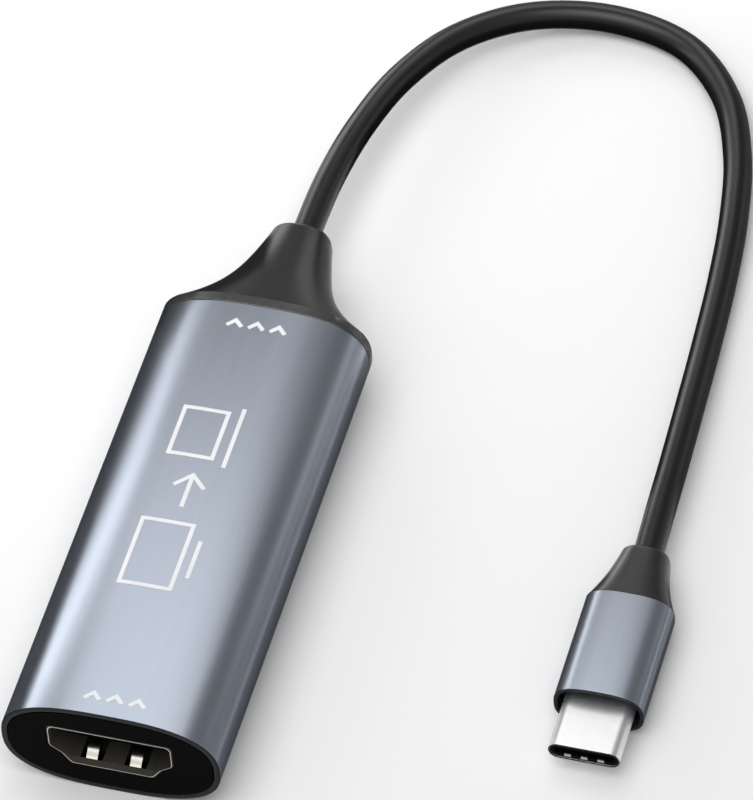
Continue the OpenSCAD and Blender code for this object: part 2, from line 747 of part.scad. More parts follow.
module usb_contacts_lower() color(gold) at_plug() usb_contact_row(-1);

// The path of a ground spring along the slot's wall, where a lower one starts with a flap over the lip
function spring_path(side) =
    let (from = usb_tip + spring_in,
         lip = usb_tip + insulator_in - spring_t / 2,
         root = usb_slot_h / 2 - spring_t / 2,
         crest = root - spring_rise)
    concat(side < 0 ? [[lip, -usb_slot_h / 2 - spring_flap], [lip, -root]] : [],
           [[from, side * root], [from + spring_l * 0.35, side * crest],
            [from + spring_l * 0.65, side * crest], [from + spring_l, side * root]]);

// The bent tabs just inside the mouth, three under and three over the slot
module usb_ground_springs() color(steel) at_plug()
    for (side = [-1, 1], i = [-1 : 1])
        across_x(i * spring_pitch, spring_w) translate([0, plug_mid])
            polygon(strip(spring_path(side), spring_t));

// The two sprung arms at the slot's ends, each with its hook
module usb_latch() color(steel) at_plug()
    for (side = [-1, 1]) {
        from = usb_tip + usb_contact_in;
        x = usb_slot_w / 2 - latch_t / 2 - snug;
        translate([0, 0, plug_mid - latch_h / 2]) linear_extrude(latch_h)
            polygon(strip([[side * x, from], [side * (x - latch_hook), from + 0.4],
                           [side * (x - latch_hook), from + 0.7], [side * x, from + 1.2],
                           [side * x, card_front - fit]], latch_t));
    }

housing_sleeve();
front_bezel();
rear_cap();
board_tray();
main_board();
hdmi_shell();
hdmi_insulator();
hdmi_contacts_upper();
hdmi_contacts_lower();
capture_chip();
memory_chip();
regulators();
power_inductors();
crystal();
capacitors();
resistors();
surge_arrays();
cable_wires();
cable_crimp();
cable();
plug_sleeve();
plug_core();
plug_boot();
plug_shield();
plug_board();
plug_chip();
plug_wires();
plug_crimp();
usb_shell();
usb_insulator();
usb_contacts_upper();
usb_contacts_lower();
usb_ground_springs();
usb_latch();
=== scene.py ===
"""Looks of the video capture box: smooth shells, the socket, the lead, print, finishes, light and camera.

Sizes are in millimetres and in the CAD frame: the socket faces -Y, the lead leaves towards +Y, +Z is up.
"""
import json
import math

import bmesh
import bpy
from mathutils import Matrix, Quaternion, Vector


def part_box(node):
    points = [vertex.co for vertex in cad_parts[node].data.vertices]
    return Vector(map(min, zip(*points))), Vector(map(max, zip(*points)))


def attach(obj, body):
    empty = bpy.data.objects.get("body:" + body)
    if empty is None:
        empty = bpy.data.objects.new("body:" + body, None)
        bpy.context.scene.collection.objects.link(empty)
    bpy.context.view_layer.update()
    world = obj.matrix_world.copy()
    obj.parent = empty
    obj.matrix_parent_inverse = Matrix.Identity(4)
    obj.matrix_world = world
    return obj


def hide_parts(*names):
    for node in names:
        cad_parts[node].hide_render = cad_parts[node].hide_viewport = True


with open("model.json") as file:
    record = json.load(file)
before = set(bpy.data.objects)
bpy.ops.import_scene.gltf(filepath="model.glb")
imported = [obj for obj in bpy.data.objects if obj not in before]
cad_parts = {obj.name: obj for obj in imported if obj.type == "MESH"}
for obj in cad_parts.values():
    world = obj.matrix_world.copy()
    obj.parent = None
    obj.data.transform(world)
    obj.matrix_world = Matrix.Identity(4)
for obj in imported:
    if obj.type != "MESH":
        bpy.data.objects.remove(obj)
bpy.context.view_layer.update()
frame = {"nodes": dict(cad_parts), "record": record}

MM = 0.001
scene = bpy.context.scene


def box_mm(node):
    """The lowest and highest corner of a CAD node, in millimetres."""
    low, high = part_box(node)
    return low / MM, high / MM


# Places and sizes that the frame gives
sleeve_low, sleeve_high = box_mm("housing_sleeve")
plug_low, plug_high = box_mm("plug_sleeve")
usb_low, usb_high = box_mm("usb_shell")
socket_low, socket_high = box_mm("hdmi_shell")
SLEEVE_SIZE = sleeve_high - sleeve_low
SLEEVE_MID = (sleeve_low + sleeve_high) / 2
PLUG_SIZE = plug_high - plug_low
PLUG_MID = (plug_low + plug_high) / 2
BOOT_END = box_mm("rear_cap")[1].y
PLUG_BOOT_END = box_mm("plug_boot")[1].y
EXIT = Vector((0, BOOT_END, SLEEVE_MID.z))
PLUG_END = Vector((PLUG_MID.x, PLUG_BOOT_END, PLUG_MID.z))

# Squareness of the ovals across and up, where 2 is an ellipse
SLEEVE_POWERS = (2.8, 2.5)
PLUG_POWERS = (2.8, 2.8)

# Walls and edge roundings of the tubes
SLEEVE_WALL = 0.7
PLUG_WALL = 0.45
USB_WALL = 0.22
SLEEVE_EDGE = 0.12
PLUG_EDGE = 0.1
USB_LIP = 0.1

# What counts as the cut end of a tube, which carries painted shade: faces this near its front that turn this
# far towards Y
CUT_END_DEPTH = 1
CUT_END_FACING = 0.3

# The boots: collar, neck, how the flare grows from the neck to the base, and how its rings crowd at the base
COLLAR_L = 1.3
COLLAR_EDGE = 0.14
NECK = (7.0, 6.7)
NECK_ROUND = 1.2
BOOT_TAPER = 7.8
BOOT_FLARE = 4.2
PLUG_NECK = (5.6, 5.4)
PLUG_NECK_ROUND = 0.7
PLUG_BOOT_TAPER = 2.8
PLUG_BOOT_FLARE = 2.6
HEIGHT_FLARE = 1.2
RING_CROWDING = 1.4

# The HDMI socket: opening, sheet and the bright width of its rim, past which the sheet carries painted
# shade, flared lip, corners of the lower half, and legs
SOCKET_W = 14.0
SOCKET_H = 4.55
SOCKET_ROUND = 0.7
SHEET_T = 0.25
RIM_T = 0.1
LIP_L = 0.5
LIP_SIDE = 0.08
LIP_RISE = 0.58
LIP_CURVE = 1.8
SIDE_DROP = 2.7
SHOULDER_IN = 1.4
SHOULDER_DROP = 1.0
FOOT_IN = 2.45
LEG_L = 1.4
LEG_PLACES = (3.4, 8.2)

# The socket's windows, and the spring fingers in them as distances behind the lip and above the wall
WINDOW_L = 3.4
WINDOW_EDGES = (-3.85, -1.25, 1.25, 3.85)
FINGER_W = 1.3
FINGER_X = 2.55
FINGER_PATH = [(0.1, -0.15), (0.25, -0.05), (0.5, 0.15), (0.8, 0.4), (1.05, 0.56), (1.3, 0.64), (1.6, 0.65),
               (1.9, 0.6), (2.6, 0.3), (3.1, 0.06), (3.4, 0), (3.6, 0)]

# Sides of a strip's section, counted round it
STRIP_CORNERS = ((-1, -1), (1, -1), (1, 1), (-1, 1))

# Printed lines: their width, and their lower and upper face above the sleeve
PRINT_W = 0.5
PRINT_LIFT = (0.005, 0.03)

# Printed marks in X and Y
SCREEN = [(-4.2, -20.5), (-4.2, -11), (1.8, -11), (1.8, -20.5)]
SCREEN_STAND = [(3.2, -18.5), (3.2, -13)]
ARROW_SHAFT = [(-0.4, -8.6), (-0.4, -4.15)]
ARROW_HEAD = [(-2.2, -5.6), (-0.4, -3.8), (1.4, -5.6)]
COMPUTER = [(-4.2, -1), (-4.2, 6), (1, 6), (1, -1)]
COMPUTER_BASE = [(2.6, -2), (2.6, 7)]
CHEVRON_X = (-2.2, 0.4, 3)
CHEVRON_Y = (-37.4, 19)
CHEVRON_REACH = 0.9

# Counts of points
RING_POINTS = 144
SLOT_END_STEPS = 24
FLARE_STEPS = 40
ROUND_STEPS = 6
EDGE_STEPS = 4
CORNER_POINTS = EDGE_STEPS + 1
LIP_STEPS = 5
LEAD_STEPS = 8
LEAD_BEVEL = 8

# Corners of the socket's outline that come before its lower wall
CORNERS_BEFORE_FLOOR = 5

# Least angle between two faces that meet in a sharp edge
SHARP_ANGLE = math.radians(25)

# The lead, and how far its ends reach into the boots
LEAD_D = 3.5
LEAD_INSIDE = 3

# The lead's route, counted in X and Y from the end of the box's boot, with heights above the floor
LEAD_ROUTE = [
    (0, 0, 6.7), (0.3, 10, 6.6), (1.6, 20, 6.2), (4.1, 29.6, 5.4), (8.7, 38.4, 4.3), (16.1, 44.8, 3.1),
    (25.6, 47.4, 2.1), (35.2, 45.2, 1.75), (42, 38.1, 1.75), (45.7, 28.8, 1.75), (47.6, 18.9, 1.75),
    (48.6, 9, 1.75), (49.2, -1, 2), (49.7, -11, 2.6), (50.1, -20.9, 3), (50.3, -28.2, 3.2),
    (50.5, -35.5, 3.2)]

# Sockets of a colour Mix node
MIX_A = 6
MIX_B = 7
MIX_RESULT = 2

# Finer layers of noise in a grain, and how rolled metal stretches it
GRAIN_DETAIL = 3
ROLLING = (1, 12, 1)

# The floor: half its width in metres, and its colour
FLOOR_REACH = 4
FLOOR_COLOUR = (0.92, 0.92, 0.92)

# The dome in front and behind: a direction along Y, and the dome's strength there
DOME_FRONT = (-0.3, 0.45)
DOME_BACK = (0.5, 0.19)

# Soft lamps: name, place, target, width, height, roll in radians, and radiance
SOFTBOXES = [
    ("panel", (-9, 30, 190), (-5.5, -72, 8), 190, 165, -0.196, 1.36),
    ("bar", (-118, 49, 67), (9, 23, 75), 190, 25, -0.76, 4.0),
    ("front", (20, -230, 560), (10, 10, 0), 620, 460, 0, 1.8),
    ("glow", (-25, 260, 240), (50, 8, 5), 60, 50, 0, 1.6),
    ("back", (16, 138, 52), (22, 86, 3), 50, 44, 0, 1.7),
    ("side", (-130, 215, 72), (40, 60, 3), 110, 95, 0, 3.6),
    ("right", (185, 185, 62), (30, 30, 5), 120, 60, 0, 0.6)]

# How far the foot of a leaning card stays off the floor
CARD_LIFT = 0.05

# Cards beside the lead: how far foot and head stand out in diameters, the head's rise over the lead,
# the share of the height left at the ends, and the steps over which a card grows to its full height
LEAD_CARD_FOOT = 0.35
LEAD_CARD_HEAD = 1.3
LEAD_CARD_RISE = 1
LEAD_CARD_LEAST = 0.02
LEAD_CARD_GROWTH = 2 * LEAD_STEPS

# The photograph's viewpoint, fitted to points on the box and the plug, with angles in degrees
VIEW_ANGLES = (18.795, 49.035, -4.443)
VIEW_TARGET = (14.86, 17.81, 6)
VIEW_DISTANCE = 786.8
FOCAL_PX = 6791.4
LONG_SIDE_PX = 800
SENSOR_W = 36


class Finish:
    """A Principled material whose grain is measured in millimetres."""

    def __init__(self, name, colour, roughness, metallic=0.0, specular=0.5):
        self.material = bpy.data.materials.new(name)
        self.material.use_nodes = True
        self.tree = self.material.node_tree
        self.shader = self.tree.nodes["Principled BSDF"]
        self.colour = colour
        self.set("Base Color", (*colour, 1))
        self.set("Metallic", metallic)
        self.set("Roughness", roughness)
        self.set("Specular IOR Level", specular)

    def set(self, socket, value):
        self.shader.inputs[socket].default_value = value

    def node(self, kind, **values):
        made = self.tree.nodes.new(kind)
        for name, value in values.items():
            setattr(made, name, value)
        return made

    def join(self, output, target):
        self.tree.links.new(output, target)

    def grain(self, size, stretch=(1, 1, 1)):
        """Noise from 0 to 1 with features of about that size, longer along the stretched axes."""
        place = self.node("ShaderNodeTexCoord")
        mapping = self.node("ShaderNodeMapping")
        mapping.inputs["Scale"].default_value = [1 / (MM * size * s) for s in stretch]
        noise = self.node("ShaderNodeTexNoise")
        noise.inputs["Scale"].default_value = 1.0
        noise.inputs["Detail"].default_value = GRAIN_DETAIL
        self.join(place.outputs["Object"], mapping.inputs["Vector"])
        self.join(mapping.outputs["Vector"], noise.inputs["Vector"])
        return noise.outputs["Fac"]

    def mix_colours(self, factor, first, second):
        """Colours the surface between two colours by a factor from 0 to 1."""
        mix = self.node("ShaderNodeMix", data_type="RGBA")
        mix.inputs[MIX_A].default_value = (*first, 1)
        mix.inputs[MIX_B].default_value = (*second, 1)
        self.join(factor, mix.inputs["Factor"])
        self.join(mix.outputs[MIX_RESULT], self.shader.inputs["Base Color"])

    def vary_colour(self, grain, amount):
        """Lightens and darkens the colour with the grain, by a share of itself."""
        darker = [c * (1 - amount) for c in self.colour]
        lighter = [min(c * (1 + amount), 1) for c in self.colour]
        self.mix_colours(grain, darker, lighter)

    def fade(self, start, end, colour):
        """Fades to another colour between two places along Y, in millimetres."""
        place = self.node("ShaderNodeTexCoord")
        split = self.node("ShaderNodeSeparateXYZ")
        spread = self.node("ShaderNodeMapRange")
        spread.inputs["From Min"].default_value = start * MM
        spread.inputs["From Max"].default_value = end * MM
        self.join(place.outputs["Object"], split.inputs["Vector"])
        self.join(split.outputs["Y"], spread.inputs["Value"])
        self.mix_colours(spread.outputs["Result"], self.colour, colour)

    def vary_roughness(self, grain, low, high):
        """Spreads the roughness between two values with the grain."""
        spread = self.node("ShaderNodeMapRange")
        spread.inputs["To Min"].default_value = low
        spread.inputs["To Max"].default_value = high
        self.join(grain, spread.inputs["Value"])
        self.join(spread.outputs["Result"], self.shader.inputs["Roughness"])

    def bump(self, grain, depth):
        """Raises the surface by up to depth millimetres with the grain."""
        bump = self.node("ShaderNodeBump")
        bump.inputs["Distance"].default_value = depth * MM
        self.join(grain, bump.inputs["Height"])
        self.join(bump.outputs["Normal"], self.shader.inputs["Normal"])


def anodised(name, colour):
    """Blasted and anodised aluminium, with faint draw lines along the extrusion."""
    finish = Finish(name, colour, roughness=0.3, metallic=1.0)
    finish.vary_colour(finish.grain(size=0.5, stretch=(1, 40, 1)), amount=0.04)
    finish.vary_roughness(finish.grain(size=0.3, stretch=(1, 30, 1)), low=0.27, high=0.34)
    finish.bump(finish.grain(size=0.06), depth=0.0012)
    return finish.material


def moulded(name, colour, roughness, pebble, depth, specular=0.5):
    """Moulded plastic or rubber with the fine texture of its tool."""
    finish = Finish(name, colour, roughness, specular=specular)
    finish.vary_colour(finish.grain(size=2.5), amount=0.12)
    finish.vary_roughness(finish.grain(size=0.8), low=roughness - 0.05, high=roughness + 0.05)
    finish.bump(finish.grain(pebble), depth)
    return finish.material


def plated(name, colour, roughness):
    """Stamped and plated metal with faint rolling lines."""
    finish = Finish(name, colour, roughness, metallic=1.0)
    finish.vary_colour(finish.grain(size=1.2), amount=0.05)
    lines = finish.grain(size=0.15, stretch=ROLLING)
    finish.vary_roughness(lines, low=roughness - 0.04, high=roughness + 0.06)
    finish.bump(finish.grain(size=0.12, stretch=ROLLING), depth=0.0008)
    return finish.material


def tabs_with_painted_shade(name, colour, dark, depth):
    """Plated tabs with painted shade: their colour fades to near black a little behind the plug's mouth."""
    finish = Finish(name, colour, roughness=0.35, metallic=1.0)
    finish.fade(usb_low.y + depth, usb_low.y + 2 * depth, dark)
    finish.vary_roughness(finish.grain(size=0.15), low=0.3, high=0.42)
    return finish.material


def matt(name, grey):
    """A plain matt finish for the floor and the cards."""
    return Finish(name, grey, roughness=0.9, specular=0.1).material


materials = {
    "anodised_sleeve": anodised("anodised_sleeve", (0.40, 0.44, 0.51)),
    "anodised_plug": anodised("anodised_plug", (0.40, 0.44, 0.51)),
    # The cut-end material is near-black painted shade for the tubes' front rims, where they would mirror the
    # bright floor
    "cut_end_painted_shade": moulded("cut_end_painted_shade", (0.012, 0.0135, 0.016), 0.45, 0.08, 0.0005, 0.2),
    "black_moulding": moulded("black_moulding", (0.0025, 0.0025, 0.0025), 0.55, 0.12, 0.003, 0.02),
    "boot_rubber": moulded("boot_rubber", (0.005, 0.005, 0.0051), 0.34, 0.1, 0.002),
    "plug_rubber": moulded("plug_rubber", (0.005, 0.005, 0.0051), 0.34, 0.1, 0.002, 0.9),
    "lead_jacket": moulded("lead_jacket", (0.005, 0.005, 0.0051), 0.34, 0.15, 0.002),
    "collar": moulded("collar", (0.032, 0.032, 0.0324), 0.26, 0.1, 0.002, 1.0),
    "socket_steel": plated("socket_steel", (0.56, 0.53, 0.48), 0.28),
    # The socket's dark material is painted shade, standing in for the unlit inside of the socket
    "socket_painted_shade": moulded("socket_painted_shade", (0.045, 0.041, 0.035), 0.5, 0.1, 0.001, 0.1),
    "plug_nickel": plated("plug_nickel", (0.90, 0.90, 0.91), 0.4),
    # The plug's tabs: plated steel, with painted shade fading in behind the mouth
    "spring_tabs_painted_shade": tabs_with_painted_shade("spring_tabs_painted_shade", (0.45, 0.45, 0.44), (0.012, 0.012, 0.012), 0.2),
    "can_steel": plated("can_steel", (0.66, 0.66, 0.65), 0.3),
    "gold_contacts": plated("gold_contacts", (0.83, 0.60, 0.24), 0.25),
    "board": moulded("board", (0.012, 0.014, 0.014), 0.35, 0.3, 0.004),
    "chip_resin": moulded("chip_resin", (0.02, 0.02, 0.022), 0.6, 0.08, 0.004),
    "ferrite": moulded("ferrite", (0.06, 0.06, 0.065), 0.55, 0.1, 0.006),
    "capacitor_body": moulded("capacitor_body", (0.30, 0.19, 0.10), 0.5, 0.1, 0.003),
    "wire": moulded("wire", (0.40, 0.04, 0.03), 0.45, 0.2, 0.002),
    "ferrule": plated("ferrule", (0.72, 0.58, 0.30), 0.3),
    "print": moulded("print", (0.80, 0.81, 0.82), 0.5, 0.1, 0.001),
}


def ring(outline, y, centre):
    """Points of an outline in X and Z, stood up at y round a centre."""
    return [Vector((centre.x + x, y, centre.z + z)) for x, z in outline]


def oval(width, height, powers):
    """An oval between an ellipse and a rectangle, with a flat on each of its four sides."""
    flat = math.cos(math.pi / RING_POINTS)
    points = []
    for i in range(RING_POINTS):
        turn = math.tau * (i + 0.5) / RING_POINTS
        across, up = math.cos(turn), math.sin(turn)
        points.append((math.copysign(width / 2 * (abs(across) / flat) ** (2 / powers[0]), across),
                       math.copysign(height / 2 * (abs(up) / flat) ** (2 / powers[1]), up)))
    return points


def sleeve_oval(width, height):
    return oval(width, height, SLEEVE_POWERS)


def plug_oval(width, height):
    return oval(width, height, PLUG_POWERS)


def stadium(width, height):
    """A slot with round ends."""
    reach = (width - height) / 2
    points = []
    for side in (1, -1):
        for i in range(SLOT_END_STEPS + 1):
            turn = math.pi * (i / SLOT_END_STEPS - 0.5)
            points.append((side * (reach + height / 2 * math.cos(turn)), side * height / 2 * math.sin(turn)))
    return points


def rounded(corners, radius):
    """A closed outline with each corner replaced by an arc."""
    points = []
    for i, corner in enumerate(corners):
        here = Vector(corner)
        back = (Vector(corners[i - 1]) - here).normalized()
        ahead = (Vector(corners[(i + 1) % len(corners)]) - here).normalized()
        half = back.angle(ahead) / 2
        centre = here + (back + ahead).normalized() * radius / math.sin(half)
        start = here + back * radius / math.tan(half) - centre
        end = here + ahead * radius / math.tan(half) - centre
        for k in range(EDGE_STEPS + 1):
            points.append(centre + start.lerp(end, k / EDGE_STEPS).normalized() * radius)
    return points


def smooth_path(points, steps):
    """A smooth path through points, with the same count of steps between neighbours."""
    path = []
    for i in range(len(points) - 1):
        a, b, c, d = (points[max(i - 1, 0)], points[i], points[i + 1], points[min(i + 2, len(points) - 1)])
        for k in range(steps):
            t = k / steps
            path.append(b + t / 2 * (c - a + t * (2 * a - 5 * b + 4 * c - d + t * (3 * (b - c) + d - a))))
    return path + [points[-1]]


def add_piece(name, mesh, slot, *nodes):
    """Puts a mesh in the scene as a piece of the object, which may stand for CAD nodes."""
    obj = bpy.data.objects.new(name, mesh)
    scene.collection.objects.link(obj)
    if slot:
        mesh.materials.append(materials[slot])
    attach(obj, "root")
    if nodes:
        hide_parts(*nodes)
    return obj


def loft(shape, rings, closed=False):
    """Adds a closed skin over rings with the same count of points."""
    rows = [[shape.verts.new(point * MM) for point in points] for points in rings]
    pairs = list(zip(rows, rows[1:]))
    if closed:
        pairs.append((rows[-1], rows[0]))
    else:
        shape.faces.new(rows[0])
        shape.faces.new(rows[-1])
    for here, there in pairs:
        for i in range(len(here)):
            shape.faces.new((here[i - 1], here[i], there[i], there[i - 1]))


def plain_mesh(name, shape):
    """Turns a shape into a mesh and lets go of it."""
    mesh = bpy.data.meshes.new(name)
    shape.to_mesh(mesh)
    shape.free()
    return mesh


def smooth_mesh(name, shape):
    """Turns closed skins into a mesh with smooth faces."""
    bmesh.ops.recalc_face_normals(shape, faces=shape.faces)
    for face in shape.faces:
        face.smooth = True
    return plain_mesh(name, shape)


def skin(name, rings, closed=False):
    """A smooth mesh over rings."""
    shape = bmesh.new()
    loft(shape, rings, closed)
    return smooth_mesh(name, shape)


def even_shading(obj):
    """Keeps flat faces flat next to their rounded edges."""
    normals = obj.modifiers.new("even_shading", "WEIGHTED_NORMAL")
    normals.keep_sharp = True
    return obj


def paint_rim_shade(mesh, front):
    """Gives the cut end face at the front of a tube a near-black material: painted shade where the rim would
    mirror the bright floor.
    """
    mesh.materials.append(materials["cut_end_painted_shade"])
    for face in mesh.polygons:
        if abs(face.normal.y) > CUT_END_FACING and face.center.y < (front + CUT_END_DEPTH) * MM:
            face.material_index = 1


def make_tube(name, slot, node, outline, wall, edge):
    """A thin tube with rounded rims over a CAD node, as a profile carried round an outline."""
    low, high = box_mm(node)
    size = high - low
    centre = (low + high) / 2
    profile = rounded([(0, low.y), (0, high.y), (wall, high.y), (wall, low.y)], edge)
    rings = [ring(outline(size.x - 2 * inset, size.z - 2 * inset), y, centre) for inset, y in profile]
    mesh = skin(name, rings, closed=True)
    piece = even_shading(add_piece(name, mesh, slot, node))
    # The cut end at the front gets painted shade
    paint_rim_shade(mesh, low.y)
    return piece


def boot_rings(base, powers, centre, start, length, neck, neck_round, taper, flare):
    """Rings of a boot that flares from a round-ended neck to its base."""
    def section(left, cut=0.0):
        width = neck[0] + taper * left + (base.x - neck[0] - taper) * left ** flare
        height = neck[1] + (base.z - neck[1]) * left ** HEIGHT_FLARE
        return oval(width - cut, height - cut, powers)

    straight = length - neck_round
    rings = []
    for i in range(FLARE_STEPS + 1):
        y = straight * (i / FLARE_STEPS) ** RING_CROWDING
        rings.append(ring(section(1 - y / length), start + y, centre))
    for k in range(1, ROUND_STEPS + 1):
        turn = math.pi / 2 * k / ROUND_STEPS
        cut = 2 * neck_round * (1 - math.cos(turn))
        y = straight + neck_round * math.sin(turn)
        rings.append(ring(section(neck_round / length, cut), start + y, centre))
    return rings


def make_rear_boot():
    """The collar behind the sleeve, and the boot that the lead leaves."""
    front = sleeve_high.y
    rings = []
    for k in range(EDGE_STEPS + 1):
        turn = math.pi / 2 * k / EDGE_STEPS
        cut = 2 * COLLAR_EDGE * (1 - math.sin(turn))
        y = front + COLLAR_EDGE * (1 - math.cos(turn))
        rings.append(ring(sleeve_oval(SLEEVE_SIZE.x - cut, SLEEVE_SIZE.z - cut), y, SLEEVE_MID))
    start = front + COLLAR_L
    rings += boot_rings(SLEEVE_SIZE, SLEEVE_POWERS, SLEEVE_MID, start, BOOT_END - start, NECK, NECK_ROUND,
                        BOOT_TAPER, BOOT_FLARE)
    mesh = skin("rear_boot", rings)
    even_shading(add_piece("rear_boot", mesh, "boot_rubber", "rear_cap"))
    mesh.materials.append(materials["collar"])
    for face in mesh.polygons:
        if face.center.y < start * MM:
            face.material_index = 1


def make_plug_boot():
    """The plug's boot, of a glossier rubber."""
    start = plug_high.y
    rings = boot_rings(PLUG_SIZE, PLUG_POWERS, PLUG_MID, start, PLUG_BOOT_END - start, PLUG_NECK,
                       PLUG_NECK_ROUND, PLUG_BOOT_TAPER, PLUG_BOOT_FLARE)
    mesh = skin("plug_flare", rings)
    piece = even_shading(add_piece("plug_flare", mesh, "boot_rubber", "plug_boot"))
    mesh.materials[0] = materials["plug_rubber"]
    return piece


def socket_outline(grow, flare):
    """The HDMI outline, wide side up, with points at the edges of its windows."""
    x = SOCKET_W / 2 + grow + LIP_SIDE * flare
    top = SOCKET_H / 2 + grow + LIP_RISE * flare
    shoulder = SOCKET_H / 2 - SIDE_DROP
    points = rounded([(x, top), (-x, top), (-x, shoulder), (-x + SHOULDER_IN, shoulder - SHOULDER_DROP),
                      (-x + FOOT_IN, -top), (x - FOOT_IN, -top), (x - SHOULDER_IN, shoulder - SHOULDER_DROP),
                      (x, shoulder)], SOCKET_ROUND)
    upper = [Vector((-edge, top)) for edge in WINDOW_EDGES]
    lower = [Vector((edge, -top)) for edge in WINDOW_EDGES]
    floor_start = CORNERS_BEFORE_FLOOR * CORNER_POINTS
    return points[:CORNER_POINTS] + upper + points[CORNER_POINTS:floor_start] + lower + points[floor_start:]


def add_socket_shell(shape):
    """The socket's sheet with four windows: a bright steel rim, and painted shade on the rest of the sheet
    inside and out.
    """
    front, back = socket_low.y, socket_high.y
    lip_back = front + LIP_L
    window_back = lip_back + WINDOW_L
    profile = [(0, 0, back), (0, 0, window_back), (0, 0, lip_back)]
    for k in range(1, LIP_STEPS + 1):
        profile.append((0, (k / LIP_STEPS) ** LIP_CURVE, lip_back - LIP_L * k / LIP_STEPS))
    rim = len(profile) - 1
    profile += [(RIM_T, 1, front), (SHEET_T, 1, front + RIM_T), (SHEET_T, 0, lip_back),
                (SHEET_T, 0, window_back), (SHEET_T, 0, back)]
    rows = [[shape.verts.new(point * MM) for point in ring(socket_outline(grow, flare), y, SLEEVE_MID)]
            for grow, flare, y in profile]
    inner_wall, outer_wall = 1, len(rows) - 3
    upper = CORNER_POINTS + 1
    lower = CORNERS_BEFORE_FLOOR * CORNER_POINTS + len(WINDOW_EDGES) + 1
    windows = (upper, upper + 2, lower, lower + 2)
    # Every row but the rim, and the windows' sides, take the second material, the painted shade
    for k, (here, there) in enumerate(zip(rows, rows[1:] + rows[:1])):
        for i in range(len(here)):
            if i not in windows or k not in (inner_wall, outer_wall):
                face = shape.faces.new((here[i - 1], here[i], there[i], there[i - 1]))
                face.material_index = int(k != rim)
    inner_rows = (rows[inner_wall], rows[inner_wall + 1])
    outer_rows = (rows[outer_wall + 1], rows[outer_wall])
    for i in windows:
        inner, outer = ((near[i - 1], near[i], far[i], far[i - 1]) for near, far in (inner_rows, outer_rows))
        for k in range(len(inner)):
            face = shape.faces.new((inner[k - 1], inner[k], outer[k], outer[k - 1]))
            face.material_index = 1


def make_socket():
    """The stamped HDMI shell with its spring fingers and its legs in the board."""
    shape = bmesh.new()
    add_socket_shell(shape)
    front = socket_low.y
    for wall in (-1, 1):
        for x in (-FINGER_X, FINGER_X):
            rings = []
            for depth, rise in FINGER_PATH:
                y = front + LIP_L + depth
                z = SLEEVE_MID.z + wall * (SOCKET_H / 2 + SHEET_T / 2 - rise)
                rings.append([Vector((x + side * FINGER_W / 2, y, z + face * SHEET_T / 2))
                              for side, face in STRIP_CORNERS])
            loft(shape, rings)
    leg_top = SLEEVE_MID.z + SOCKET_H / 2 - SIDE_DROP / 2
    leg_x = (SOCKET_W + SHEET_T) / 2
    for x in (-leg_x, leg_x):
        for place in LEG_PLACES:
            loft(shape, [[Vector((x + side * SHEET_T / 2, front + place + end * LEG_L / 2, z))
                          for side, end in STRIP_CORNERS]
                         for z in (socket_low.z, leg_top)])
    mesh = smooth_mesh("socket", shape)
    mesh.set_sharp_from_angle(angle=SHARP_ANGLE)
    add_piece("socket", mesh, "socket_steel", "hdmi_shell")
    # The second material is painted shade over the sheet
    mesh.materials.append(materials["socket_painted_shade"])


def sleeve_top(x):
    """Height of the sleeve's upper side at x."""
    half = SLEEVE_SIZE / 2
    return SLEEVE_MID.z + half.z * (1 - (abs(x) / half.x) ** SLEEVE_POWERS[0]) ** (1 / SLEEVE_POWERS[1])


def print_line(shape, corners, closed=False):
    """A thin printed line over the sleeve's top through corners in X and Y."""
    corners = [Vector(corner) for corner in corners]
    places = []
    for here, there in zip(corners, corners[1:] + corners[:1] if closed else corners[1:]):
        count = math.ceil((there - here).length)
        places += [here.lerp(there, k / count) for k in range(count)]
    if not closed:
        places.append(corners[-1])
    low, high = PRINT_LIFT
    rings = []
    for i, here in enumerate(places):
        back = here - places[i - 1] if closed or i else places[1] - here
        ahead = places[(i + 1) % len(places)] - here if closed or i + 1 < len(places) else back
        sides = [Vector((-way.y, way.x)).normalized() for way in (back, ahead)]
        side = (sides[0] + sides[1]) / (1 + sides[0].dot(sides[1])) * PRINT_W / 2
        rings.append([Vector((p.x, p.y, sleeve_top(p.x) + lift))
                      for p, lift in ((here - side, low), (here + side, low), (here + side, high),
                                      (here - side, high))])
    loft(shape, rings, closed)


def make_print():
    """Generic marks: a screen, an arrow and a computer along the box, and chevrons at both its ends."""
    shape = bmesh.new()
    print_line(shape, SCREEN, closed=True)
    print_line(shape, SCREEN_STAND)
    print_line(shape, ARROW_SHAFT)
    print_line(shape, ARROW_HEAD)
    print_line(shape, COMPUTER, closed=True)
    print_line(shape, COMPUTER_BASE)
    for y in CHEVRON_Y:
        for x in CHEVRON_X:
            print_line(shape, [(x - CHEVRON_REACH, y), (x, y + CHEVRON_REACH), (x + CHEVRON_REACH, y)])
    mesh = smooth_mesh("print", shape)
    mesh.set_sharp_from_angle(angle=SHARP_ANGLE)
    add_piece("print", mesh, None)
    mesh.materials.append(materials["print"])


def make_lead(path):
    """The round lead, from just inside the box's boot to just inside the plug's."""
    points = [EXIT + Vector((0, -LEAD_INSIDE, 0)), *path, PLUG_END + Vector((0, -LEAD_INSIDE, 0))]
    curve = bpy.data.curves.new("lead", "CURVE")
    curve.dimensions = "3D"
    curve.bevel_depth = LEAD_D / 2 * MM
    curve.bevel_resolution = LEAD_BEVEL
    curve.use_fill_caps = True
    spline = curve.splines.new("POLY")
    spline.points.add(len(points) - 1)
    for knot, point in zip(spline.points, points):
        knot.co = (*(point * MM), 1)
    lead = add_piece("lead", curve, "lead_jacket", "cable")


